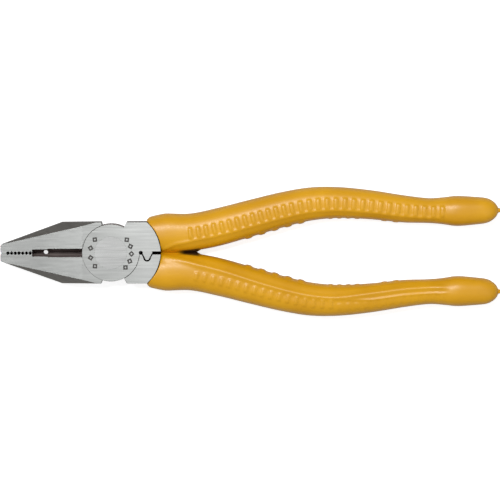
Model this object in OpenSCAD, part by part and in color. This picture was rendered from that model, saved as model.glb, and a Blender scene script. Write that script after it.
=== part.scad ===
// Side-cutting lineman pliers: two lap-jointed steel levers, one rivet and two moulded grips.
// The origin is on the pivot axis, on the joint's back face. +Z runs along the rivet towards the
// front face, +X towards the handles, and +Y towards the handle of the lever that laps in front.

/* [Head] */
// Thickness of the joint and of the shoulders behind it
head_t = 12.5; // [12:0.1:13]
// Half the width across the head's parallel sides
head_half_w = 13.2; // [13:0.1:13.4]
// Distance from the pivot to the jaw tip
jaw_reach = 47.6; // [46:0.2:50]
// Distance from the pivot to the corner where the jaws start to taper
taper_reach = 21; // [20:0.5:23]
// Half the width of the closed jaws at the tip
tip_half_w = 3.5; // [3.3:0.1:4]
// Thickness of the jaws at the tip
tip_t = 9.8; // [9.4:0.2:10.6]
// Height of the joint boss above each jaw face
boss_step = 0.25; // [0.15:0.05:0.4]
// Angle of the bevel along each jaw's outer edges
bevel_angle = 42; // [36:1:46]
// Turn of the bevel's inner edge from the length of the tool
bevel_turn = 14.5; // [14:0.5:15.5]

/* [Gripping faces and knives] */
// Number of grooves across each gripping face
tooth_count = 7; // [5:1:7]
// Distance from one groove to the next
tooth_pitch = 1.6; // [1.4:0.05:1.65]
// Depth of each groove
tooth_depth = 0.7; // [0.3:0.05:0.75]
// Distance from the pivot to the front end of the knives
knife_reach = 33.9; // [33:0.1:35]
// Distance from the pivot to the front end of the knives' wide recess
recess_reach = 27.2; // [25:0.1:28]
// Half the width of the wide recess in front of the knife edges
recess_half_w = 1.95; // [1.7:0.05:2.2]
// Radius of the relief hole in the knives
relief_r = 0.95; // [0.7:0.05:1.1]
// Distance from the pivot to the relief hole
relief_reach = 28.3; // [28:0.1:30]

/* [Joint] */
// Radius of the round boss that each lever laps over the other
boss_r = 12.3; // [12:0.1:12.4]
// Angle of a jaw's shoulder in front of the crossways line through the pivot
jaw_shoulder = 17.5; // [16:0.5:20]
// Angle of a handle's shoulder behind the crossways line through the pivot
handle_shoulder = 27.3; // [26.5:0.1:29]
// Radius of the rivet's shank
shank_r = 4; // [3.5:0.1:4.5]
// Radius of the rivet's flush heads
rivet_head_r = 7; // [6.5:0.1:7.4]
// Thickness of each rivet head
rivet_head_t = 2.2; // [1.8:0.1:2.6]
// Radial clearance of the rivet in the lever that turns on it
running_gap = 0.04; // [0.02:0.01:0.08]

/* [Crimping die] */
// Distance from the pivot to the middle of the crimping tooth
crimp_reach = 15.6; // [15.4:0.1:15.8]
// Depth of the crimping tooth
crimp_depth = 3.1; // [2.6:0.1:3.2]
// Radius of the tooth's rounded end
crimp_tip_r = 0.95; // [0.8:0.05:1]
// Width of the tooth where it leaves the lever
crimp_mouth = 4.2; // [3.8:0.1:4.4]
// Gap between the closed tooth and its notch
crimp_gap = 0.7; // [0.5:0.05:0.8]

/* [Grips] */
// Length of the tool behind the pivot
handle_reach = 167; // [165:0.5:170]
// Radius of the curved mouth of the closed grips
mouth_r = 18.1; // [17.8:0.1:18.2]
// Distance from the pivot to the centre of that curve
mouth_x = 3.5; // [3.3:0.1:3.6]
// Squareness of a grip's section: 2 is an ellipse, more is squarer
grip_squareness = 2.5; // [2.2:0.1:3]
// Half the distance between the closed grips where they meet
grip_meet = 0.15; // [0.1:0.05:0.3]

/* [Hidden] */
$fn = 96;

face_gap = 0.03;              // each gripping face stands this far from the parting plane
lap_gap = 0.05;               // each lap stands this far from the mid plane
boss_gap = 0.15;              // the hollow round the other lever's boss is this much larger
edge_gap = 0.02;              // each knife edge stands this far from the parting plane
fit_gap = 0.05;               // a tang is this much smaller than the sleeve that holds it
seat_gap = 0.2;               // a grip's mouth stands this far behind the lever's seat
web_t = 2.5;                  // the teeth and the crimping die stop this far from the back face
past = 1;                     // how far a cutting shape runs past the face that it cuts
half_t = head_t / 2;
jaw_half_t = half_t - boss_step;
tip_r = 1;
tip_chamfer = 0.6;
seat_r = mouth_r - seat_gap;
seat_half_t = 5.2;            // half the thickness of the lever where the grip starts
tang_half_t = [4.2, 3.2];     // half the thickness of the tang, at its root and at its end
tang_half_w = [5.4, 3.3];     // half the width of the tang, at its root and at its end
tang_root = 36;
tang_end = 152;
tang_inner_y = 3;             // the lever's edge inside the sleeve, from the parting plane
root_x = 21.4;                // the lever's edge along the parting plane ends here
steel = [0.74, 0.75, 0.75];
grip_yellow = [0.90, 0.62, 0.08];

// The grip's control sections: distance behind the pivot, distance of its middle from the parting
// plane, half its width and half its thickness.
SECTIONS = [
    [14, 8.5, 8.5, 7.5],
    [24, 8.4, 8.3, 7.5],
    [34, 8.5, 8.0, 7.3],
    [46, 10.7, 8.2, 7.1],
    [60, 14.4, 8.0, 7.0],
    [74, 18.1, 7.6, 6.8],
    [86, 20.5, 7.1, 6.6],
    [98, 21.1, 6.6, 6.4],
    [112, 20.1, 6.2, 6.2],
    [126, 18.3, 5.8, 5.8],
    [137, 17.5, 5.3, 5.5],
    [143, 17.4, 5.7, 5.9],
    [149, 17.3, 6.4, 6.6],
    [158, 17.4, 5.8, 5.8],
    [167, 17.5, 5.0, 5.0],
];
RING_POINTS = 28;
RING_STEP = 2.5;              // distance between the grip's rings
END_RINGS = 5;                // rings round the grip's blunt end
end_round = 7.5;              // length of the blunt end's rounding
end_nib = [0.9, 1.2];         // radius and length of the moulding nib at the end
lip_from = 23.5;              // the grip starts to narrow here towards its mouth
lip_length = 8.5;             // length over which it narrows
lip_drop = 1.7;               // how far it narrows on each side
lip_corner = 17.2;            // the rounding of the mouth's outer corner starts here
lip_round = 2.2;              // length of that rounding
corner_drop = 2.5;            // how far that rounding drops at its very end

function blend(pair, u) = pair[0] + (pair[1] - pair[0]) * u;
function clamp(u) = max(0, min(1, u));

// Smooth curve through column k of SECTIONS, at distance x behind the pivot.
function span_at(x, i = 0) = i >= len(SECTIONS) - 2 || x < SECTIONS[i + 1][0] ? i : span_at(x, i + 1);
function slope_at(i, k) =
    let (a = max(0, i - 1), b = min(len(SECTIONS) - 1, i + 1))
    (SECTIONS[b][k] - SECTIONS[a][k]) / (SECTIONS[b][0] - SECTIONS[a][0]);
function section(x, k) =
    let (i = span_at(x), run = SECTIONS[i + 1][0] - SECTIONS[i][0], u = (x - SECTIONS[i][0]) / run)
    (2 * u ^ 3 - 3 * u ^ 2 + 1) * SECTIONS[i][k] + (u ^ 3 - 2 * u ^ 2 + u) * run * slope_at(i, k)
    + (3 * u ^ 2 - 2 * u ^ 3) * SECTIONS[i + 1][k] + (u ^ 3 - u ^ 2) * run * slope_at(i + 1, k);

// Plan of one jaw, on the -Y side: from the pivot to the rounded tip, and back along the outside.
module jaw_plan() {
    taper = (head_half_w - tip_half_w) / (jaw_reach - taper_reach);
    turn = atan(taper);
    round_y = -(tip_half_w + taper * tip_r) + tip_r / cos(turn);
    round_steps = 6;
    polygon(concat(
        [[0, 0], [-boss_r, -face_gap], [-jaw_reach + tip_chamfer, -face_gap]],
        [[-jaw_reach, -face_gap - tip_chamfer]],
        [for (i = [0 : round_steps])
            let (a = 180 + (90 - turn) * i / round_steps)
            [-jaw_reach + tip_r + tip_r * cos(a), round_y + tip_r * sin(a)]],
        [[-taper_reach, -head_half_w], [-head_half_w * tan(jaw_shoulder), -head_half_w]]
    ));
}

// One jaw before it is ground: its faces fall away from the joint to the tip.
module jaw_plate() {
    intersection() {
        linear_extrude(head_t, center = true) jaw_plan();
        rotate([90, 0, 0])
            linear_extrude(3 * head_half_w, center = true)
                polygon([
                    [0, -jaw_half_t], [-boss_r, -jaw_half_t], [-jaw_reach - past, -tip_t / 2],
                    [-jaw_reach - past, tip_t / 2], [-boss_r, jaw_half_t], [0, jaw_half_t],
                ]);
    }
}

// The long flat bevel along the outer edge of a jaw's front face.
module jaw_bevel() {
    bevel_y = tip_half_w + 1.2;
    translate([-jaw_reach + 4, -bevel_y, tip_t / 2])
        rotate([0, 0, -bevel_turn])
            rotate([bevel_angle, 0, 0])
                translate([-jaw_reach, -head_half_w, 0])
                    cube([2.2 * jaw_reach, 2 * head_half_w, head_t]);
}

// The grooves in the gripping face of the jaw on the -Y side. A plain strip is left behind them.
module teeth_cut() {
    first = knife_reach + tooth_pitch / 2;
    half_root = 0.2;
    for (i = [0 : tooth_count - 1])
        translate([-first - i * tooth_pitch, 0, -half_t + web_t])
            linear_extrude(2 * head_t)
                polygon([
                    [-tooth_pitch / 2, past - face_gap], [-tooth_pitch / 2, -face_gap],
                    [-half_root, -face_gap - tooth_depth], [half_root, -face_gap - tooth_depth],
                    [tooth_pitch / 2, -face_gap], [tooth_pitch / 2, past - face_gap],
                ]);
}

// What is ground away beside the parting plane to leave a knife edge near the back face.
module knife_cut(reach, recess_w) {
    edge_z = -half_t + 2.6;
    step_z = -half_t + 5.4;
    back_bevel = 0.9;
    rotate([90, 0, -90])
        linear_extrude(reach)
            polygon([
                [-edge_gap, edge_z], [recess_w * 0.68, step_z], [recess_w, half_t + past],
                [-past, half_t + past], [-past, -half_t - past],
                [back_bevel + past * 0.3, -half_t - past], [edge_gap, edge_z],
            ]);
}

// Both lengths of the ground recess, for the jaw on the -Y side.
module knife_recess() {
    knife_cut(knife_reach, recess_half_w * 0.87);
    knife_cut(recess_reach, recess_half_w);
    translate([-relief_reach, 0, 0]) cylinder(r = relief_r, h = 2 * head_t, center = true, $fn = 48);
}

// Plan of the shoulder and tang on the +Y side, grown by fit on every side.
module tang_plan(fit) {
    steps = 22;
    stations = [for (i = [0 : steps]) tang_root + (tang_end - tang_root) * i / steps];
    root_y = tang_inner_y - fit;
    function width(x) = blend(tang_half_w, clamp((x - tang_root) / (tang_end - tang_root))) + fit;
    polygon(concat(
        [[0, 0], [root_x - 8, root_y], [root_x + 3, root_y]],
        [for (x = stations) [x, section(x, 1) - width(x)]],
        [[tang_end + 2 + fit, section(tang_end, 1) - 1.5], [tang_end + 2 + fit, section(tang_end, 1) + 1.5]],
        [for (i = [steps : -1 : 0]) [stations[i], section(stations[i], 1) + width(stations[i])]],
        [[mouth_x + seat_r - 3, head_half_w + fit], [head_half_w * tan(handle_shoulder), head_half_w + fit]]
    ));
}

// The part of a lever that the sleeve holds, grown by fit on every side.
module tang(fit) {
    intersection() {
        linear_extrude(head_t, center = true) tang_plan(fit);
        rotate([90, 0, 0])
            linear_extrude(4 * head_half_w, center = true)
                polygon([
                    [boss_r * 0.6, -seat_half_t - fit], [root_x + 3, -seat_half_t - fit],
                    [tang_root, -tang_half_t[0] - fit], [tang_end + 2 + fit, -tang_half_t[1] - fit],
                    [tang_end + 2 + fit, tang_half_t[1] + fit], [tang_root, tang_half_t[0] + fit],
                    [root_x + 3, seat_half_t + fit], [boss_r * 0.6, seat_half_t + fit],
                ]);
    }
}

// The full-thickness shoulder, rounded behind to meet the mouth of the grip.
module shoulder() {
    intersection() {
        linear_extrude(head_t, center = true)
            polygon([
                [0, face_gap], [root_x, face_gap], [root_x + 1, tang_inner_y],
                [root_x, head_half_w], [head_half_w * tan(handle_shoulder), head_half_w],
            ]);
        translate([mouth_x, 0, 0]) cylinder(r = seat_r, h = 2 * head_t, center = true);
    }
}

// A forged lever: jaw on the -Y side, handle on the +Y side, and a boss that laps in front.
module lever_blank() {
    difference() {
        union() {
            difference() {
                union() {
                    difference() {
                        jaw_plate();
                        jaw_bevel();
                        mirror([0, 0, 1]) jaw_bevel();
                    }
                    shoulder();
                    tang(0);
                }
                translate([0, 0, -head_t + lap_gap]) cylinder(r = boss_r + boss_gap, h = head_t);
            }
            translate([0, 0, lap_gap]) cylinder(r = boss_r, h = half_t - lap_gap);
        }
        cylinder(r = shank_r, h = 2 * head_t, center = true);
        translate([0, 0, half_t - rivet_head_t]) cylinder(r = rivet_head_r, h = head_t);
    }
}

// Plan of the crimping tooth, or of its notch when grown by the gap.
module crimp_plan(grow) {
    tip_y = -crimp_depth + crimp_tip_r;
    half_mouth = crimp_mouth / 2 + grow;
    translate([crimp_reach, tip_y]) circle(r = crimp_tip_r + grow, $fn = 48);
    polygon([
        [crimp_reach - half_mouth, past], [crimp_reach - half_mouth, 0],
        [crimp_reach - crimp_tip_r - grow, tip_y], [crimp_reach + crimp_tip_r + grow, tip_y],
        [crimp_reach + half_mouth, 0], [crimp_reach + half_mouth, past],
    ]);
}

// The blind hole at the front end of the crimping die.
module crimp_relief() {
    relief = 0.86;
    translate([boss_r + relief * 0.7, 0, -half_t + web_t]) cylinder(r = relief, h = 2 * head_t, $fn = 48);
}

// What makes room for the crimping tooth: wide in front, and a close fit behind.
module crimp_notch() {
    close_gap = 0.12;
    linear_extrude(3 * head_t, center = true) crimp_plan(close_gap);
    translate([0, 0, -half_t + web_t]) linear_extrude(2 * head_t) crimp_plan(crimp_gap);
}

// Past the crimping die, the edge of the handle on the -Y side stands back from the other handle.
module edge_relief(depth) {
    translate([crimp_reach + crimp_mouth / 2, -face_gap - depth, -half_t + web_t])
        cube([root_x, depth + past, 2 * head_t]);
}

// A ring of small punched diamonds round the rivet, in the front boss, each with a raised middle.
module punch_marks(count, middle, pitch) {
    mark_r = 8.9;
    mark_w = 1.9;
    middle_w = 0.7;
    mark_depth = 0.3;
    for (i = [0 : count - 1])
        rotate([0, 0, middle + (i - (count - 1) / 2) * pitch])
            translate([mark_r, 0, half_t])
                rotate([0, 0, 45])
                    difference() {
                        cube([mark_w, mark_w, 2 * mark_depth], center = true);
                        cube([middle_w, middle_w, 4 * mark_depth], center = true);
                    }
}

module lower_jaw_lever() {
    color(steel)
        translate([0, 0, half_t])
            difference() {
                union() {
                    lever_blank();
                    linear_extrude(head_t, center = true) crimp_plan(0);
                }
                knife_outside_boss();
                teeth_cut();
                crimp_relief();
                mirror([0, 1, 0]) edge_relief(0.55);
                cylinder(r = shank_r + running_gap, h = 2 * head_t, center = true);
                translate([0, 0, half_t - rivet_head_t - lap_gap])
                    cylinder(r = rivet_head_r + running_gap, h = head_t);
                punch_marks(4, 180, 26.7);
                punch_marks(5, -3, 21);
            }
}

// The knife recess stops at the boss.
module knife_outside_boss() {
    difference() {
        knife_recess();
        cylinder(r = boss_r, h = 3 * head_t, center = true);
    }
}

module upper_jaw_lever() {
    color(steel)
        translate([0, 0, half_t])
            difference() {
                rotate([180, 0, 0]) lever_blank();
                mirror([0, 1, 0]) {
                    knife_outside_boss();
                    teeth_cut();
                }
                crimp_relief();
                crimp_notch();
                edge_relief(0.75);
            }
}

module pivot_rivet() {
    color([0.66, 0.67, 0.68]) {
        cylinder(r = shank_r, h = head_t);
        cylinder(r = rivet_head_r, h = rivet_head_t);
        translate([0, 0, head_t - rivet_head_t]) cylinder(r = rivet_head_r, h = rivet_head_t);
    }
}

// What the lip takes off a grip's half width at x, and the scale that rounds its blunt end.
function lip(x) =
    let (u = clamp((lip_from - x) / lip_length), v = clamp((lip_corner - x) / lip_round))
    lip_drop * u ^ 1.3 + corner_drop * (1 - sqrt(1 - v ^ 2));
function end_scale(x) = let (u = clamp((x - handle_reach + end_round) / end_round)) sqrt(1 - u ^ 2.4);

function ring(x, half_w, half_h) = [
    for (i = [0 : RING_POINTS - 1])
        let (c = cos(360 * i / RING_POINTS), s = sin(360 * i / RING_POINTS), e = 2 / grip_squareness)
        [x, section(x, 1) + half_w * sign(c) * abs(c) ^ e, half_h * sign(s) * abs(s) ^ e]
];

// The outside of the grip on the +Y side, as rings of points joined by triangles.
module grip_outside() {
    start = 14.9;
    body_rings = floor((handle_reach - end_round - start) / RING_STEP);
    body_x = [for (i = [0 : body_rings]) start + i * RING_STEP];
    end_from = body_x[body_rings];
    end_x = [for (i = [1 : END_RINGS])
        end_from + (handle_reach - 0.15 - end_from) * sin(90 * i / END_RINGS)];
    rings = concat(
        [for (x = concat(body_x, end_x))
            ring(x, (section(x, 2) - lip(x)) * end_scale(x), (section(x, 3) - lip(x) * 0.3) * end_scale(x))],
        [ring(handle_reach, end_nib[0], end_nib[0])],
        [ring(handle_reach + end_nib[1], end_nib[0] * 0.6, end_nib[0] * 0.6)]
    );
    count = len(rings);
    points = [for (r = rings) each r];
    function at(i, j) = i * RING_POINTS + j % RING_POINTS;
    polyhedron(points, concat(
        [[for (j = [0 : RING_POINTS - 1]) at(0, j)]],
        [[for (j = [RING_POINTS - 1 : -1 : 0]) at(count - 1, j)]],
        [for (i = [0 : count - 2], j = [0 : RING_POINTS - 1]) [at(i, j), at(i + 1, j), at(i, j + 1)]],
        [for (i = [0 : count - 2], j = [0 : RING_POINTS - 1]) [at(i, j + 1), at(i + 1, j), at(i + 1, j + 1)]]
    ));
}

module grip() {
    difference() {
        intersection() {
            grip_outside();
            translate([0, grip_meet, -head_t]) cube([1.2 * handle_reach, 4 * head_half_w, 2 * head_t]);
        }
        translate([mouth_x, 0, 0]) cylinder(r = mouth_r, h = 3 * head_t, center = true);
        tang(fit_gap);
    }
}

module upper_handle_grip() {
    color(grip_yellow) translate([0, 0, half_t]) grip();
}

module lower_handle_grip() {
    color(grip_yellow) translate([0, 0, half_t]) rotate([180, 0, 0]) grip();
}

upper_jaw_lever();
lower_jaw_lever();
pivot_rivet();
upper_handle_grip();
lower_handle_grip();
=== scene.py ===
"""Looks for a pair of lineman pliers: ground steel levers, a flush rivet and moulded vinyl grips.

Everything is in metres, in the CAD's own frame: the pivot is the Z axis, the joint's back face is at
z = 0, the jaws point along -X and the handles along +X.
"""

import math

import bmesh
import bpy
import numpy as np
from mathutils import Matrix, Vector


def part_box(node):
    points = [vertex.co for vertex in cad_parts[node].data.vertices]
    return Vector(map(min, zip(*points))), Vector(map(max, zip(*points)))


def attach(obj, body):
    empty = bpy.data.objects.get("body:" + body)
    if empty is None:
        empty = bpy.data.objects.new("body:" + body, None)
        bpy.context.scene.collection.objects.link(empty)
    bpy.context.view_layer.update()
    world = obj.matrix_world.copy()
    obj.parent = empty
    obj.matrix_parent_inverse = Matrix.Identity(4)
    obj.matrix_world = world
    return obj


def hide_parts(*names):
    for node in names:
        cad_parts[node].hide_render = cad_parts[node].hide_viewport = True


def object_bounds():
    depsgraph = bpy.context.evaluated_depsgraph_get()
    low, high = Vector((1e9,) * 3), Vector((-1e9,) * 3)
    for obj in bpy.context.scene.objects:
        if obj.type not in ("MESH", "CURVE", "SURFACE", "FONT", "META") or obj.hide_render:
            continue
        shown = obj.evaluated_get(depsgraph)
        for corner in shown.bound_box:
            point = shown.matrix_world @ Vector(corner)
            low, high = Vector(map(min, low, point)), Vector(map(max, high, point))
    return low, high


MM = 0.001
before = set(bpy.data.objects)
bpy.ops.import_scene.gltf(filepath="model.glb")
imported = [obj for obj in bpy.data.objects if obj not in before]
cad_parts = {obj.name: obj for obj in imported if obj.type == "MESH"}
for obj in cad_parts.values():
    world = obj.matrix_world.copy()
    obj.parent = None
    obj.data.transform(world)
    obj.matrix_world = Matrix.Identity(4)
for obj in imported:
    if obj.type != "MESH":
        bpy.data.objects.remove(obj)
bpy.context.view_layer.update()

# The joint's flat faces, from the rivet that is ground flush with them.
back_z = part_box("pivot_rivet")[0].z
front_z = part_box("pivot_rivet")[1].z
middle_z = (back_z + front_z) / 2

tip_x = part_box("upper_jaw_lever")[0].x

# The finishes of a lever's faces, in the order of its materials.
GROUND, SIDE, KNIFE_SHADE, GROOVE_SHADE, MARK, WALL = range(6)

GRINDING_PITCH = 0.35 * MM      # belt scratches, drawn coarser than the real 0.05 mm so that they show
SCRATCH_STRETCH = 50            # a scratch is this many pitches long
CLOUD_SIZE = 9 * MM             # faint cloudy patches in the steel
JAW_SHADE_X = (-30 * MM, 16 * MM)    # the painted shade on the jaws is full here, and gone here
VINYL_CLOUD = 14 * MM           # patches of slightly uneven colour in the vinyl
PEEL_SIZE = 0.8 * MM            # its orange peel


# ---------------------------------------------------------------- small tools

def srgb(code):
    """An sRGB hex colour as linear RGBA."""
    parts = [int(code[i:i + 2], 16) / 255 for i in (1, 3, 5)]
    return [p / 12.92 if p <= 0.04045 else ((p + 0.055) / 1.055) ** 2.4 for p in parts] + [1.0]


def add(tree, kind, settings=None, **inputs):
    """Adds a node; settings are its properties, and inputs its sockets: values, or other sockets."""
    node = tree.nodes.new(kind)
    for name, value in (settings or {}).items():
        setattr(node, name, value)
    for name, value in inputs.items():
        key = int(name[1:]) if name[0] == "_" and name[1:].isdigit() else name.replace("_", " ")
        socket = node.inputs[key]
        if isinstance(value, bpy.types.NodeSocket):
            tree.links.new(value, socket)
        else:
            socket.default_value = value
    return node


def smoothstep(value, low, high):
    """0 below low, 1 above high, and an even S between them."""
    u = np.clip((value - low) / (high - low), 0.0, 1.0)
    return u * u * (3.0 - 2.0 * u)


def new_object(name, vertices, faces):
    """An object at the origin, made of these corners and faces."""
    mesh = bpy.data.meshes.new(name)
    mesh.from_pydata([tuple(v) for v in vertices], [], faces)
    mesh.update()
    piece = bpy.data.objects.new(name, mesh)
    bpy.context.scene.collection.objects.link(piece)
    return piece


def surface(name, **shader):
    """A new material and its Principled shader, with values set on the shader's own sockets."""
    material = bpy.data.materials.new(name)
    material.use_nodes = True
    principled = material.node_tree.nodes["Principled BSDF"]
    for key, value in shader.items():
        principled.inputs[key.replace("_", " ")].default_value = value
    return material, material.node_tree, principled


# ---------------------------------------------------------------- finishes

def belt_ground_steel(name, light, dark, roughness, jaw_painted_shade=0.0, bare=1.0):
    """Tool steel ground on a belt: satin, with fine scratches along the tool and a faint cloudiness.

    The steel is painted a little darker towards the jaws than at the joint, by jaw_painted_shade: a painted
    shade.
    Steel painted dark as shade, or filled with soot, has less of its bare metal showing.
    """
    material, tree, shader = surface(name, Metallic=bare, Specular_IOR_Level=0.3)
    place = add(tree, "ShaderNodeTexCoord").outputs["Object"]
    # Scratches are long along X and a grinding pitch wide.
    stretch = add(tree, "ShaderNodeMapping", _0=place,
                  Scale=(1 / (SCRATCH_STRETCH * GRINDING_PITCH), 1 / GRINDING_PITCH, 1 / GRINDING_PITCH))
    scratch = add(tree, "ShaderNodeTexNoise", _0=stretch.outputs[0], Scale=1.0, Detail=3.0, Roughness=0.6)
    cloud = add(tree, "ShaderNodeTexNoise", _0=place, Scale=1 / CLOUD_SIZE, Detail=3.0)
    tone = add(tree, "ShaderNodeMix", {"data_type": "FLOAT"}, Factor=0.4,
               _2=scratch.outputs["Fac"], _3=cloud.outputs["Fac"])
    colour = add(tree, "ShaderNodeValToRGB", Fac=tone.outputs[0])
    colour.color_ramp.elements[0].position = 0.32
    colour.color_ramp.elements[0].color = srgb(dark)
    colour.color_ramp.elements[1].position = 0.68
    colour.color_ramp.elements[1].color = srgb(light)
    along = add(tree, "ShaderNodeSeparateXYZ", _0=place).outputs[0]
    # Painted shade: the colour darkens towards the jaws, by jaw_painted_shade.
    soft = add(tree, "ShaderNodeMapRange", Value=along, _1=JAW_SHADE_X[0], _2=JAW_SHADE_X[1],
               _3=1 - jaw_painted_shade, _4=1.0)
    toned = add(tree, "ShaderNodeVectorMath", {"operation": "SCALE"}, _0=colour.outputs["Color"],
                Scale=soft.outputs[0])
    tree.links.new(toned.outputs[0], shader.inputs["Base Color"])
    rough = add(tree, "ShaderNodeMapRange", Value=scratch.outputs["Fac"],
                _1=0.3, _2=0.7, _3=roughness - 0.015, _4=roughness + 0.025)
    tree.links.new(rough.outputs[0], shader.inputs["Roughness"])
    bump = add(tree, "ShaderNodeBump", Strength=0.05, Distance=0.02 * MM, Height=scratch.outputs["Fac"])
    tree.links.new(bump.outputs[0], shader.inputs["Normal"])
    return material


def moulded_vinyl():
    """Soft yellow PVC, as moulded: semi-gloss, a fine orange peel and slightly uneven colour."""
    material, tree, shader = surface("moulded_vinyl", Metallic=0.0, IOR=1.53, Specular_IOR_Level=0.45)
    place = add(tree, "ShaderNodeTexCoord").outputs["Object"]
    cloud = add(tree, "ShaderNodeTexNoise", _0=place, Scale=1 / VINYL_CLOUD, Detail=4.0)
    peel = add(tree, "ShaderNodeTexNoise", _0=place, Scale=1 / PEEL_SIZE, Detail=2.0)
    colour = add(tree, "ShaderNodeValToRGB", Fac=cloud.outputs["Fac"])
    colour.color_ramp.elements[0].position = 0.35
    colour.color_ramp.elements[0].color = srgb("#d09506")
    colour.color_ramp.elements[1].position = 0.65
    colour.color_ramp.elements[1].color = srgb("#da9f0a")
    # Painted shade: where the closed grips part, the vinyl is painted near-black brown.
    gap_shade_amount = add(tree, "ShaderNodeAttribute", {"attribute_name": "crevice_shade"}).outputs["Fac"]
    gap_shaded_colour = add(tree, "ShaderNodeMix", {"data_type": "RGBA"}, _0=gap_shade_amount,
                 _6=colour.outputs["Color"], _7=srgb("#2b1707"))
    tree.links.new(gap_shaded_colour.outputs[2], shader.inputs["Base Color"])
    rough = add(tree, "ShaderNodeMapRange", Value=peel.outputs["Fac"], _1=0.3, _2=0.7, _3=0.34, _4=0.42)
    tree.links.new(rough.outputs[0], shader.inputs["Roughness"])
    bump = add(tree, "ShaderNodeBump", Strength=0.10, Distance=0.02 * MM, Height=peel.outputs["Fac"])
    tree.links.new(bump.outputs[0], shader.inputs["Normal"])
    return material


# ---------------------------------------------------------------- steel levers

# Places on the levers. Each R is a distance from the pivot, and a pair is a lowest and a highest value.
BOSS_R = 12.3 * MM                      # the boss, which turns in the other lever's hollow
HOLLOW_R = 12.45 * MM                   # that hollow
BOSS_WALL_R = (12.1 * MM, 12.6 * MM)    # the walls of both
MARKS_R = (7.2 * MM, 11 * MM)           # the ring of punch marks
MARKS_DEPTH = (0.05 * MM, 0.4 * MM)     # their floors and walls, below the front face
RECESS_X = (-34.2 * MM, -11.9 * MM)     # the knife recess
RECESS_HALF_W = 2.1 * MM
TEETH_TO = -34 * MM                     # the teeth's end that is nearer the pivot
TEETH_Y = (0.1 * MM, 1.5 * MM)          # their flanks, either side of the parting plane
TIP_LAND = 1.2 * MM                     # the tip is plain for this length
DIE_FROM = 11.9 * MM                    # the crimping die's end that is nearer the pivot
DIE_HALF_W = 4.4 * MM
SEAT_X, SEAT_R = 3.5 * MM, 17.6 * MM    # middle and radius of the round seat of the grips' mouths
FACE_DEPTH = 1.4 * MM                   # the jaws' tapered faces come this far below the joint's

BOSS_BREAK = 0.12 * MM                  # how wide grinding has broken the boss's edge
OUTER_BREAK = 0.14 * MM                 # and the outer edges
BREAK_STEPS = 3                         # faces across a broken edge
LEAST_EDGE = math.radians(24)           # a softer edge than this isn't broken


def broken_width(edge):
    """How wide an edge of a lever is broken: 0 where it is left sharp or a grip hides it."""
    if len(edge.link_faces) != 2 or edge.calc_face_angle(0) < LEAST_EDGE or not edge.is_convex:
        return 0
    middle = (edge.verts[0].co + edge.verts[1].co) / 2
    reach = math.hypot(middle.x, middle.y)
    aside = abs(middle.y)
    left_sharp = [
        middle.x > 19.5 * MM and aside < 14.5 * MM and reach > 24 * MM,     # inside the grip
        abs(reach - HOLLOW_R) < 0.1 * MM,                                   # the hollow's rim
        aside < 3 * MM and middle.x < -12 * MM,                             # knives and teeth
        aside < 4.2 * MM and middle.x > 12 * MM,                            # crimping die
        reach < 10.5 * MM,                                                  # rivet's seat and punch marks
        abs(middle.z - middle_z) < 0.6 * MM,                                # where the levers lap
        any(0.4 < abs(face.normal.z) < 0.93 for face in edge.link_faces),   # the jaws' ground bevels
    ]
    if any(left_sharp):
        return 0
    on_face = min(abs(middle.z - back_z), abs(middle.z - front_z)) < 0.3 * MM
    if abs(reach - BOSS_R) < 0.12 * MM and on_face:
        return BOSS_BREAK
    return OUTER_BREAK if reach > 12 * MM else 0


def forged_lever(node, materials):
    """The CAD lever with its real edges: broken by grinding outside, left sharp at the knives."""
    shape = bmesh.new()
    shape.from_mesh(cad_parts[node].data)
    bmesh.ops.remove_doubles(shape, verts=shape.verts, dist=0.002 * MM)
    bmesh.ops.dissolve_limit(shape, angle_limit=math.radians(0.6), verts=shape.verts, edges=shape.edges)
    edges = {0: [], BOSS_BREAK: [], OUTER_BREAK: []}
    for edge in shape.edges:
        edges[broken_width(edge)].append(edge)
    broken = []
    for width in (BOSS_BREAK, OUTER_BREAK):
        made = bmesh.ops.bevel(shape, geom=[e for e in edges[width] if e.is_valid], offset=width,
                               segments=BREAK_STEPS, profile=0.5, affect="EDGES", clamp_overlap=False)
        broken += made["faces"]
    for face in shape.faces:
        face.smooth = True
        face.material_index = finish_of(face)
    # Painted shade: the broken edges take the walls' dark finish, so they read as dark lines.
    for face in broken:
        if face.is_valid:
            face.material_index = WALL
    # The closed levers meet at the parting plane: the clearance left there for the hinge is too fine to see.
    for vertex in shape.verts:
        if abs(vertex.co.y) < 0.04 * MM and abs(vertex.co.x) > 11 * MM:
            vertex.co.y = 0.0
    mesh = bpy.data.meshes.new(node + "_forging")
    shape.to_mesh(mesh)
    shape.free()
    piece = bpy.data.objects.new(node + "_forging", mesh)
    bpy.context.scene.collection.objects.link(piece)
    for material in materials:
        mesh.materials.append(material)
    shade_broken_edges(mesh)
    return piece


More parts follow.
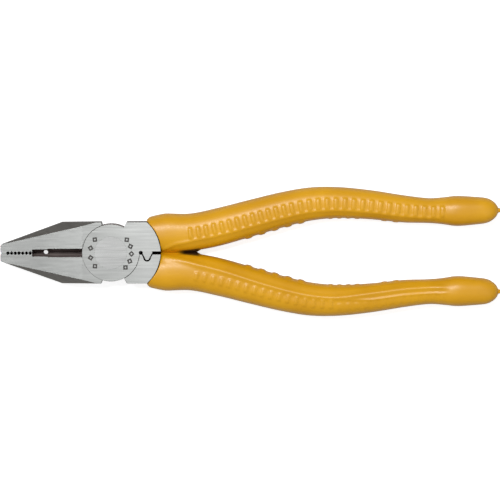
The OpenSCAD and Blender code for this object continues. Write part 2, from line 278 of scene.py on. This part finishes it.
def shade_broken_edges(mesh):
    """Keeps flat faces flat to their edges, and shades turned surfaces and broken edges as round ones."""
    flat_area = 1.2 * MM * MM                                   # a smaller face may be part of a round
    upright = 0.05                                              # a turned wall's normal has less Z than this
    least_turn, most_turn = math.radians(0.8), math.radians(13)     # between a turned wall's faces
    turned_limit, broken_limit = 20, 58                         # degrees that shading goes smoothly round
    around = [[] for _ in mesh.vertices]
    for face in mesh.polygons:
        for v in face.vertices:
            around[v].append(face)
    turned = set()
    for face in mesh.polygons:
        if abs(face.normal.z) < upright:
            near = {f.index: f for v in face.vertices for f in around[v] if f != face}
            bends = [face.normal.angle(f.normal) for f in near.values() if abs(f.normal.z) < upright]
            if any(least_turn < bend < most_turn for bend in bends):
                turned.add(face.index)
    flat = {f.index for f in mesh.polygons if f.area > flat_area} - turned
    normals = []
    for face in mesh.polygons:
        for v in face.vertices:
            if face.index in flat:
                normals.append(face.normal)
                continue
            limit = math.radians(turned_limit if face.index in turned else broken_limit)
            close = [f for f in around[v] if f.normal.angle(face.normal, 0) < limit]
            bases = [] if face.index in turned else [f for f in close if f.index in flat]
            total = Vector((0, 0, 0))
            for f in bases or close:
                total += f.normal * (1 if bases else f.area)
            normals.append(total.normalized() if total.length > 0 else face.normal)
    mesh.normals_split_custom_set([tuple(n) for n in normals])


def finish_of(face):
    """Which finish a lever's face has: one of GROUND, SIDE, KNIFE_SHADE, GROOVE_SHADE, MARK and WALL."""
    middle = face.calc_center_median()
    reach = math.hypot(middle.x, middle.y)
    aside = abs(middle.y)
    lying = abs(face.normal.z)
    # Painted shade: the knife recess.
    if aside < RECESS_HALF_W and RECESS_X[0] < middle.x < RECESS_X[1] and lying < 0.97:
        return KNIFE_SHADE
    on_a_face = min(abs(middle.z - back_z), abs(middle.z - front_z)) < FACE_DEPTH and lying > 0.9
    if not on_a_face:
        # Painted shade: the teeth and the crimping die.
        if tip_x + TIP_LAND < middle.x < TEETH_TO and TEETH_Y[0] < aside < TEETH_Y[1]:
            return GROOVE_SHADE
        if middle.x > DIE_FROM and aside < DIE_HALF_W:
            return GROOVE_SHADE
    if MARKS_R[0] < reach < MARKS_R[1] and MARKS_DEPTH[0] < front_z - middle.z < MARKS_DEPTH[1]:
        return MARK
    # Painted shade: the seat under the grips' mouths.
    if math.hypot(middle.x - SEAT_X, middle.y) > SEAT_R and middle.x > 5 * MM:
        return GROOVE_SHADE
    # Painted shade: the walls of the boss and of its hollow take the knives' dark finish.
    if BOSS_WALL_R[0] < reach < BOSS_WALL_R[1] and lying < 0.5:
        return KNIFE_SHADE
    if lying > 0.93:
        return GROUND
    return SIDE if lying > 0.2 else WALL


# ---------------------------------------------------------------- moulded grips

SKIN_STEP = 0.36 * MM           # distance between rings of the skin
SKIN_POINTS = 132               # points round each ring
SQUARENESS = 2.5                # of the section: 2 is an ellipse
LEAST_HALF = 0.05 * MM          # a section never gets smaller than this
MOUTH_X = 3.5 * MM              # the mouth is an arc round this place
MOUTH_R = 18.12 * MM
MOUTH_CLOSE = 0.2 * MM          # at the parting plane the mouth comes this much nearer the lever
CLOSE_Y = (1.5 * MM, 4 * MM)    # fully up to the first distance from that plane, not at all past the second
LIP = 0.38 * MM                 # rounding of the mouth's edge
FOLDS = (2.2 * MM, 1.2 * MM)    # how far in the skin folds behind the mouth's edge
NARROW_FROM = 23.5 * MM         # the grip narrows from here towards its mouth
NARROW_LENGTH = 8.5 * MM
NARROW_DROP = 1.7 * MM
CORNER_FROM = 17.2 * MM         # and its outer corner is rounded from here
CORNER_LENGTH = 2.2 * MM
CORNER_DROP = 2.5 * MM
RINGS_FROM = 22 * MM            # behind the mouth the skin's rings start here
MOUTH_FADE = 45 * MM            # and lose the mouth's arc over this length
MEET = 0.03 * MM                # half the distance between the closed grips where they meet
PARTED_X = (36.5 * MM, 39 * MM)     # they part between these
CREVICE_SHADE_X = (28 * MM, 32 * MM, 37 * MM, 39.5 * MM)    # the painted shade where the grips part starts, is full, thins and ends
END_ROUND = 7.5 * MM            # length of the rounding at the closed end
END_POWER = 2.4                 # of that rounding: 2 is an ellipse
NIB_R = 0.9 * MM                # of the moulding nib on the closed end
NIB_LENGTH = 1.2 * MM


def turned_over(points):
    """The lower grip is the upper one's moulding turned half a turn about the tool's length."""
    return points * [1, -1, -1] + [0, 0, 2 * middle_z]


def measured_sections():
    """The CAD grip's own rings: distance along the tool, middle, half width and half thickness."""
    points = np.array([v.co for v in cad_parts["upper_handle_grip"].data.vertices])
    places, counts = np.unique(np.round(points[:, 0], 5), return_counts=True)
    rows = []
    for x in places[counts > 100]:
        ring = points[np.abs(points[:, 0] - x) < 0.01 * MM]
        top = ring[ring[:, 2] > ring[:, 2].max() - 0.01 * MM]
        middle = top[:, 1].mean()
        rows.append([x, middle, ring[:, 1].max() - middle, ring[:, 2].max() - middle_z])
    return np.array(rows)


def smooth_curve(x, knots, values):
    """A smooth curve through the values at the knots, straight beyond both ends."""
    slopes = np.gradient(values, knots)
    i = np.clip(np.searchsorted(knots, x) - 1, 0, len(knots) - 2)
    run = knots[i + 1] - knots[i]
    raw = (x - knots[i]) / run
    u = np.clip(raw, 0, 1)
    inside = ((2 * u ** 3 - 3 * u ** 2 + 1) * values[i] + (u ** 3 - 2 * u ** 2 + u) * run * slopes[i]
              + (3 * u ** 2 - 2 * u ** 3) * values[i + 1] + (u ** 3 - u ** 2) * run * slopes[i + 1])
    beyond = np.where(raw < 0, raw * run * slopes[i], np.where(raw > 1, (raw - 1) * run * slopes[i + 1], 0))
    return inside + beyond


def even_section_angles(count):
    """Angles that put points at even distances round a superellipse."""
    fine = np.linspace(0, 2 * np.pi, 4001)
    c, s = np.cos(fine), np.sin(fine)
    y = np.sign(c) * np.abs(c) ** (2 / SQUARENESS)
    z = np.sign(s) * np.abs(s) ** (2 / SQUARENESS)
    run = np.concatenate([[0], np.cumsum(np.hypot(np.diff(y), np.diff(z)))])
    return np.interp(np.linspace(0, run[-1], count, endpoint=False), run, fine)


def crease(across, along, knots, offsets, height, width):
    """Height of a rounded ridge that runs along the grip at the given offsets from its middle line."""
    line = np.interp(along, np.array(knots) * MM, np.array(offsets) * MM)
    return height * np.exp(-((across - line) / width) ** 2)


def grip_skin():
    """The upper grip's surface as rings of points, with each point's place along and across the grip.

    Each point is x, y, z, how much it is part of the ribbed skin, and how much painted shade it has where
    the closed grips part.
    """
    rows = measured_sections()
    end_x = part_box("upper_handle_grip")[1].x
    body_end = end_x - NIB_LENGTH
    round_from = body_end - END_ROUND
    rows = rows[rows[:, 0] < round_from - 0.8 * MM]
    knots = rows[:, 0]

    def middle(x):
        """Where the grip's middle line lies across the tool."""
        return smooth_curve(x, knots, rows[:, 1])

    def half_sizes(x):
        """The section's half width and half thickness."""
        full = [smooth_curve(x, knots, rows[:, k]) for k in (2, 3)]
        u = np.clip((x - round_from) / END_ROUND, 0, 1)
        blunt = np.sqrt(np.clip(1 - u ** END_POWER, 0, 1))
        u = np.clip((NARROW_FROM - x) / NARROW_LENGTH, 0, 1)
        v = np.clip((CORNER_FROM - x) / CORNER_LENGTH, 0, 1)
        lip = NARROW_DROP * u ** 1.3 + CORNER_DROP * (1 - np.sqrt(1 - v ** 2))
        return full[0] * blunt - lip, full[1] * blunt - 0.3 * lip

    angles = even_section_angles(SKIN_POINTS)
    c, s = np.cos(angles), np.sin(angles)
    unit_y = np.sign(c) * np.abs(c) ** (2 / SQUARENESS)
    unit_z = np.sign(s) * np.abs(s) ** (2 / SQUARENESS)

    inner_side = smoothstep(-unit_y, 0.95, 0.995)

    def at(x, shrink=0.0):
        """A ring's points across and through, on a section that is smaller by shrink all round."""
        half_w, half_h = half_sizes(x)
        y = middle(x) + np.maximum(half_w - shrink, LEAST_HALF) * unit_y
        # The closed grips touch along the middle of their sides, a little further than at their faces.
        if shrink <= LIP:
            pull = inner_side * (1 - smoothstep(x, *PARTED_X))
            y = y + pull * (np.minimum(y, MEET) - y)
        nearest = MEET + 0.8 * max(shrink - LIP, 0)
        return np.maximum(y, nearest), np.maximum(half_h - shrink, LEAST_HALF) * unit_z

    # Each line of points starts on the curved mouth and ends at the blunt end.
    start = np.full(SKIN_POINTS, 20 * MM)
    for _ in range(40):
        y = np.clip(at(start)[0], 0, MOUTH_R * 0.98)
        close = MOUTH_CLOSE * (1 - smoothstep(y, *CLOSE_Y))
        start = 0.5 * start + 0.5 * (MOUTH_X + np.sqrt(MOUTH_R ** 2 - y ** 2) - close)
    rings = []
    for shrink in (*FOLDS, LIP):
        rings.append((start + 0.02 * MM, shrink, 0.0))
    for turn in np.linspace(0, np.pi / 2, 7)[1:]:
        rings.append((start + LIP * (1 - np.cos(turn)), LIP * (1 - np.sin(turn)), 0.0))
    first = start + LIP
    count = int((round_from - RINGS_FROM) / SKIN_STEP)
    for x in np.linspace(RINGS_FROM, round_from, count)[1:]:
        pull = np.clip(1 - (x - RINGS_FROM) / MOUTH_FADE, 0, 1) ** 2
        rings.append((x + (first - RINGS_FROM) * pull, 0.0, 1.0))
    for x in round_from + END_ROUND * np.sin(np.linspace(0, np.pi / 2, 26)[1:-1]):
        rings.append((np.full(SKIN_POINTS, x), 0.0, 1.0))
    points = []
    for x, shrink, skin in rings:
        y, z = at(x, shrink)
        # Painted shade on the grips' inner sides, where the closed grips part.
        crevice_shade = smoothstep(-unit_y, 0.88, 0.97) * smoothstep(x, *CREVICE_SHADE_X[:2]) \
            * (1 - smoothstep(x, *CREVICE_SHADE_X[2:]))
        points.append(np.stack([x, y, z, np.full(SKIN_POINTS, skin), crevice_shade], axis=1))
    # The moulding nib at the closed end: each ring's radius, in nib radii, and its distance in mm.
    end_middle = middle(np.array([body_end]))[0]
    none = np.zeros(SKIN_POINTS)
    for size, past_body in ((1.5, -0.12), (1.1, 0.05), (1, 0.25), (1, 0.85), (0.8, 1.12), (0.4, 1.2)):
        r = size * NIB_R
        x = np.full(SKIN_POINTS, body_end + past_body * MM)
        points.append(np.stack([x, end_middle + r * c, r * s, none, none], axis=1))
    grid = np.array(points)
    fine_x = np.linspace(0, end_x, 3000)
    slope = np.gradient(middle(fine_x), fine_x)
    length = np.concatenate([[0], np.cumsum(np.hypot(np.diff(fine_x), np.diff(middle(fine_x))))])
    tilt = np.arctan(np.interp(grid[..., 0], fine_x, slope))
    off = grid[..., 1] - middle(grid[..., 0])
    along = np.interp(grid[..., 0], fine_x, length) + off * np.sin(tilt)
    return grid, along, off * np.cos(tilt)


def grip_base(name, material):
    """The moulding before its ribs: a closed skin with the creases that run along it."""
    grid, along, across = grip_skin()
    x, y, z, skin, crevice_shade = (grid[..., k] for k in range(5))
    face_z = (0.4 * MM, 2.2 * MM)       # the front and back faces begin this far from the middle
    front = smoothstep(z, *face_z) * skin
    back = smoothstep(-z, *face_z) * skin
    # Front face: one crease from the mouth's inner corner to the ribs' inner ends.
    front_fade = 1 - smoothstep(x, 136 * MM, 146 * MM)
    front_crease = crease(across, x, [21, 28, 36, 150], [-7.6, -4.6, -3.3, -2.9],
                          height=0.38 * MM, width=0.8 * MM)
    rise = front * front_crease * front_fade
    # Back face: a long ridge that parts into two before the closed end.
    back_fade = 1 - smoothstep(x, 141 * MM, 146.5 * MM)
    parting = smoothstep(x, 96 * MM, 112 * MM)
    long_ridge = crease(across, x, [21, 37, 64, 96, 112, 146], [-6.8, -3.6, -2.1, -1.4, -2.2, -2.0],
                        height=0.62 * MM, width=1.15 * MM)
    second_ridge = crease(across, x, [96, 112, 146], [-1.0, 0.5, 0.5], height=0.30 * MM, width=0.6 * MM)
    rise = rise + back * back_fade * (long_ridge + parting * second_ridge)
    # The mould's parting line, along both sides.
    side = smoothstep(np.abs(across), 4.0 * MM, 5.0 * MM) * skin * smoothstep(x, 24 * MM, 30 * MM)
    line_height, line_width = 0.10 * MM, 0.16 * MM
    rise = rise + side * line_height * np.exp(-(z / line_width) ** 2)
    rings, count = x.shape
    points = np.stack([x, y, z], axis=-1)
    normal = np.cross(np.roll(points, -1, axis=1) - np.roll(points, 1, axis=1),
                      np.gradient(points, axis=0))
    normal /= np.maximum(np.linalg.norm(normal, axis=-1, keepdims=True), 1e-12)
    points = points + normal * rise[..., None]
    points[..., 2] += middle_z
    faces = []
    for i in range(rings - 1):
        for j in range(count):
            k = (j + 1) % count
            faces.append((i * count + j, i * count + k, (i + 1) * count + k, (i + 1) * count + j))
    faces.append(tuple(range(count - 1, -1, -1)))
    faces.append(tuple((rings - 1) * count + j for j in range(count)))
    grip = new_object(name, points.reshape(-1, 3), faces)
    grip.data.materials.append(material)
    place = np.stack([along, across, z], axis=-1).reshape(-1, 3)
    grip.data.attributes.new("place", "FLOAT_VECTOR", "POINT").data.foreach_set("vector", place.ravel())
    grip.data.attributes.new("skin", "FLOAT", "POINT").data.foreach_set("value", skin.ravel())
    grip.data.attributes.new("crevice_shade", "FLOAT", "POINT").data.foreach_set("value", crevice_shade.ravel())
    return grip


def rib_tree():
    """Geometry nodes that raise a ladder of soft-edged ribs on one side of a moulding.

    The ribs repeat along the moulding, from the first to the last, within a band that Band axis crosses,
    on the side that Facing points out of. Sharpness is how gradually a rib's flanks rise.
    """
    tree = bpy.data.node_groups.new("moulded_ribs", "GeometryNodeTree")
    face = tree.interface
    face.new_socket("Geometry", in_out="INPUT", socket_type="NodeSocketGeometry")
    for name in ("First rib", "Last rib", "Pitch", "Height", "Sharpness", "Band centre", "Band half width",
                 "Band edge"):
        face.new_socket(name, in_out="INPUT", socket_type="NodeSocketFloat")
    for name in ("Band axis", "Facing"):
        face.new_socket(name, in_out="INPUT", socket_type="NodeSocketVector")
    face.new_socket("Material", in_out="INPUT", socket_type="NodeSocketMaterial")
    face.new_socket("Geometry", in_out="OUTPUT", socket_type="NodeSocketGeometry")
    given = tree.nodes.new("NodeGroupInput").outputs

    def math_node(operation, a, b=0.0):
        return add(tree, "ShaderNodeMath", {"operation": operation}, _0=a, _1=b).outputs[0]

    def s_curve(value, low, high):
        return add(tree, "ShaderNodeMapRange", {"interpolation_type": "SMOOTHSTEP"},
                   _0=value, _1=low, _2=high).outputs[0]

    place = add(tree, "GeometryNodeInputNamedAttribute", {"data_type": "FLOAT_VECTOR"},
                Name="place").outputs[0]
    skin = add(tree, "GeometryNodeInputNamedAttribute", {"data_type": "FLOAT"}, Name="skin").outputs[0]
    along = add(tree, "ShaderNodeSeparateXYZ", _0=place).outputs[0]
    cycles = math_node("DIVIDE", math_node("SUBTRACT", along, given["First rib"]), given["Pitch"])
    wave = math_node("COSINE", math_node("MULTIPLY", cycles, 2 * math.pi))
    crest = 0.15        # the wave's height halfway up a rib's flank: ribs are narrower than their gaps
    bar = s_curve(wave, math_node("SUBTRACT", crest, given["Sharpness"]),
                  math_node("ADD", crest, given["Sharpness"]))
    half = math_node("MULTIPLY", given["Pitch"], 0.5)
    after = math_node("GREATER_THAN", along, math_node("SUBTRACT", given["First rib"], half))
    before = math_node("LESS_THAN", along, math_node("ADD", given["Last rib"], half))
    over = add(tree, "ShaderNodeVectorMath", {"operation": "DOT_PRODUCT"},
               _0=place, _1=given["Band axis"]).outputs["Value"]
    aside = math_node("ABSOLUTE", math_node("SUBTRACT", over, given["Band centre"]))
    band = math_node("SUBTRACT", 1.0, s_curve(
        aside, math_node("SUBTRACT", given["Band half width"], given["Band edge"]),
        math_node("ADD", given["Band half width"], given["Band edge"])))
    normal = tree.nodes.new("GeometryNodeInputNormal").outputs[0]
    turned = add(tree, "ShaderNodeVectorMath", {"operation": "DOT_PRODUCT"},
                 _0=normal, _1=given["Facing"]).outputs["Value"]
    amount = given["Height"]
    for factor in (bar, after, before, band, s_curve(turned, 0.3, 0.6), skin):
        amount = math_node("MULTIPLY", amount, factor)
    offset = add(tree, "ShaderNodeVectorMath", {"operation": "SCALE"}, _0=normal, Scale=amount).outputs[0]
    moved = add(tree, "GeometryNodeSetPosition", Geometry=given["Geometry"], Offset=offset)
    real = add(tree, "GeometryNodeRealizeInstances", _0=moved.outputs[0])
    done = add(tree, "GeometryNodeSetMaterial", _0=real.outputs[0], Material=given["Material"])
    tree.links.new(done.outputs[0], tree.nodes.new("NodeGroupOutput").inputs[0])
    return tree


def raise_ribs(piece, tree, **sizes):
    """Adds one ladder of ribs to a piece; sizes are the tree's inputs by name."""
    modifier = piece.modifiers.new("ribs", "NODES")
    modifier.node_group = tree
    for item in tree.interface.items_tree:
        key = item.name.replace(" ", "_").lower()
        if item.in_out == "INPUT" and key in sizes:
            modifier[item.identifier] = sizes[key]


def made_plain(piece):
    """Turns a piece and its modifiers into one plain mesh."""
    graph = bpy.context.evaluated_depsgraph_get()
    mesh = bpy.data.meshes.new_from_object(piece.evaluated_get(graph))
    piece.modifiers.clear()
    piece.data = mesh
    return piece


def ribbed_grip(name, tree, material, over):
    """One vinyl grip with every rib, for the upper handle, or turned over for the lower one."""
    grip = grip_base(name, material)
    front, back, inner = (0, 0, 1), (0, 0, -1), (0, -1, 0)
    ladders = [
        # facing, axis, first, count, pitch, height, sharpness, centre, half width, edge; sizes in mm
        (front, (0, 1, 0), 34.26, 14, 3.458, 0.42, 0.60, -0.2, 2.3, 0.55),
        (front, (0, 1, 0), 83.04, 17, 3.829, 0.42, 0.60, -0.2, 2.3, 0.55),
        (back, (0, 1, 0), 37.0, 17, 3.69, 0.34, 0.60, 1.4, 1.8, 0.55),
        (back, (0, 1, 0), 99.73, 13, 3.69, 0.16, 0.60, 2.5, 1.4, 0.60),
        (inner, (0, 0, 1), 58.0, 5, 6.0, 0.50, 0.75, 0.0, 3.0, 0.90),
        (inner, (0, 0, 1), 96.0, 4, 4.0, 0.26, 0.75, 0.0, 2.6, 0.80),
        (inner, (0, 0, 1), 120.0, 2, 5.0, 0.26, 0.75, 0.0, 2.4, 0.80),
    ]
    for facing, axis, first, count, pitch, height, sharpness, centre, half_width, edge in ladders:
        raise_ribs(grip, tree, first_rib=first * MM, last_rib=(first + (count - 1) * pitch) * MM,
                   pitch=pitch * MM, height=height * MM, sharpness=sharpness, band_centre=centre * MM,
                   band_half_width=half_width * MM, band_edge=edge * MM, band_axis=axis, facing=facing,
                   material=material)
    made_plain(grip)
    if over:
        points = np.array([v.co for v in grip.data.vertices])
        grip.data.vertices.foreach_set("co", turned_over(points).astype(np.float32).ravel())
    for polygon in grip.data.polygons:
        polygon.use_smooth = True
    grip.data.update()
    return grip


# ---------------------------------------------------------------- the object

# The flats are ground on a belt and left bare: pale satin grey, with painted shade that darkens them towards
# the jaws.
ground = belt_ground_steel("belt_ground_tool_steel", "#d6d8d6", "#cfd1cf", 0.24, jaw_painted_shade=0.42)
# The bevels are ground on a coarser wheel: a darker, duller grey.
sides = belt_ground_steel("wheel_ground_bevel_steel", "#aaa7a2", "#8f8c87", 0.30)
# The walls are as forged and only wiped over: dull, with soft highlights. Their dark grey is partly painted
# shade, shared by the broken edges so that they read as dark lines.
walls = belt_ground_steel("dull_forged_steel", "#7b7875", "#65625f", 0.42)
# Painted shade on the knives, matt: the upper jaw's is near-black, as its bevel faces away from the light,
# and the lower jaw's a lighter brown-grey, as its bevel faces the light.
knife_painted_shade = belt_ground_steel("oil_blackened_knife_steel", "#6e6460", "#554c49", 0.5, bare=0.2)
knife_painted_lighter_shade = belt_ground_steel("oil_browned_knife_steel", "#968986", "#7b6f6d", 0.5, bare=0.2)
# Painted shade: the teeth, the crimping die and the seat under the grips' mouths are painted nearly black,
# and matt.
groove = belt_ground_steel("soot_black_groove_steel", "#332c28", "#1c1715", 0.6, bare=0.3)
# The marks are punched cold, and soot fills them: dark grey and matt.
punched = belt_ground_steel("soot_filled_punch_marks", "#5a5856", "#3e3c3a", 0.6, bare=0.5)
# The rivet is peened over and ground flush with the joint: the joint's own grey, a little rougher.
peened = belt_ground_steel("ground_rivet_steel", "#bfc0bf", "#b7b8b7", 0.26)
vinyl = moulded_vinyl()
ribs = rib_tree()

for node, body, knife in (("upper_jaw_lever", "back_lever", knife_painted_shade),
                          ("lower_jaw_lever", "front_lever", knife_painted_lighter_shade)):
    lever = forged_lever(node, [ground, sides, knife, groove, punched, walls])
    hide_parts(node)
    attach(lever, body)

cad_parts["pivot_rivet"].data.materials.clear()
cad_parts["pivot_rivet"].data.materials.append(peened)

for node, body, over in (("upper_handle_grip", "front_lever", False),
                         ("lower_handle_grip", "back_lever", True)):
    grip = ribbed_grip("ribbed_" + node, ribs, vinyl, over)
    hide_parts(node)
    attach(grip, body)


# ---------------------------------------------------------------- stage, lights and camera

def stage_floor():
    """A plain pale floor, just under the tool. Its glow whitens it for the lens and lights nothing."""
    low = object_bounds()[0][2]
    size = 3.0
    glow = 0.80
    corners = [(-size, -size, low), (size, -size, low), (size, size, low), (-size, size, low)]
    floor = new_object("floor", corners, [(0, 1, 2, 3)])
    material, tree, shader = surface("pale_floor", Base_Color=srgb("#c4c4c4"), Roughness=0.9,
                                     Specular_IOR_Level=0.1, Emission_Color=(1, 1, 1, 1))
    for_lens = add(tree, "ShaderNodeLightPath").outputs["Is Camera Ray"]
    strength = add(tree, "ShaderNodeMapRange", Value=for_lens, _3=0.0, _4=glow)
    tree.links.new(strength.outputs[0], shader.inputs["Emission Strength"])
    floor.data.materials.append(material)


def soft_light(name, place, aim, size, power):
    """A white rectangular light at one place that faces another."""
    data = bpy.data.lights.new(name, "AREA")
    data.shape = "RECTANGLE"
    data.size, data.size_y = size
    data.energy = power
    light = bpy.data.objects.new(name, data)
    bpy.context.scene.collection.objects.link(light)
    light.location = place
    light.rotation_euler = (Vector(aim) - Vector(place)).to_track_quat("-Z", "Y").to_euler()


def studio_world():
    """Even light from above that falls off towards the horizon."""
    world = bpy.data.worlds.new("studio")
    bpy.context.scene.world = world
    world.use_nodes = True
    tree = world.node_tree
    way = add(tree, "ShaderNodeTexCoord").outputs["Generated"]
    height = add(tree, "ShaderNodeSeparateXYZ", _0=way).outputs[2]
    ramp = add(tree, "ShaderNodeValToRGB", Fac=height)
    stops = ramp.color_ramp.elements
    horizon, middle, zenith = 0.14, 0.34, 0.40
    stops[0].position, stops[0].color = 0.0, (horizon, horizon, horizon, 1)
    stops[1].position, stops[1].color = 1.0, (zenith, zenith, zenith, 1)
    stops.new(0.45).color = (middle, middle, middle, 1)
    background = tree.nodes["Background"]
    tree.links.new(ramp.outputs["Color"], background.inputs["Color"])
    background.inputs["Strength"].default_value = 1.0


def overhead_camera():
    """A long lens above the tool, a little towards its upper handle, with the jaws to the left."""
    lens_height = 2.0
    seen_width = 215.0 * MM
    lean = math.radians(2.7)
    roll = math.radians(-0.20)
    aim = Vector((tip_x + 107.80 * MM, 1.03 * MM, front_z))
    data = bpy.data.cameras.new("camera")
    data.sensor_width = 36.0
    data.lens = data.sensor_width * lens_height / seen_width
    data.clip_end = 20.0
    camera = bpy.data.objects.new("camera", data)
    bpy.context.scene.collection.objects.link(camera)
    camera.location = aim + lens_height * Vector((0, math.sin(lean), math.cos(lean)))
    camera.rotation_euler = (-lean, 0, roll)
    bpy.context.scene.camera = camera


stage_floor()
studio_world()
# A long strip beyond the upper handle puts the highlights on the grips; a large soft box fills in.
soft_light("strip_top", place=(-0.15, 0.36, 1.25), aim=(0, 0, 0), size=(0.7, 0.12), power=13.0)
soft_light("softbox_right", place=(0.9, -0.1, 1.0), aim=(0.05, 0, 0), size=(0.5, 0.9), power=1.2)
overhead_camera()
bpy.context.scene.view_settings.view_transform = "Standard"
